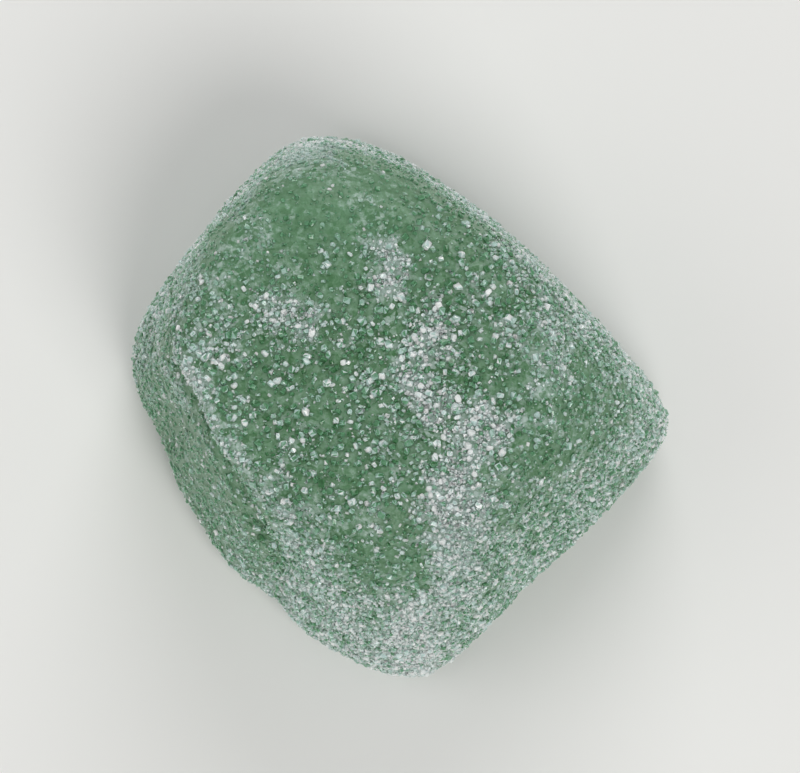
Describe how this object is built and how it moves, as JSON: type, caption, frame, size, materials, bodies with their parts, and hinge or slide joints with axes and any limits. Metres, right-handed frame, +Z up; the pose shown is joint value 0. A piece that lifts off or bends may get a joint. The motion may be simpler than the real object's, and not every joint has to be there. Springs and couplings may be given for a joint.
{
  "type": "gummy candy",
  "caption": "Soft green jelly sweet: a rounded, slightly squashed block with hollowed faces and raised edges, rolled in coarse sugar and resting on its flattened underside.",
  "frame": {"origin": "the middle of the sweet's outline, on the surface that it rests on", "axes": "+Z up, -Y towards the picture's camera, which looks down steeply, and +X to the right in the picture"},
  "size_m": [0.0287, 0.0293, 0.0171],
  "materials": {
    "jelly": "satin",
    "sugar": "satin"
  },
  "bodies": {
    "root": {"gummy": "jelly"}
  },
  "joints": []
}
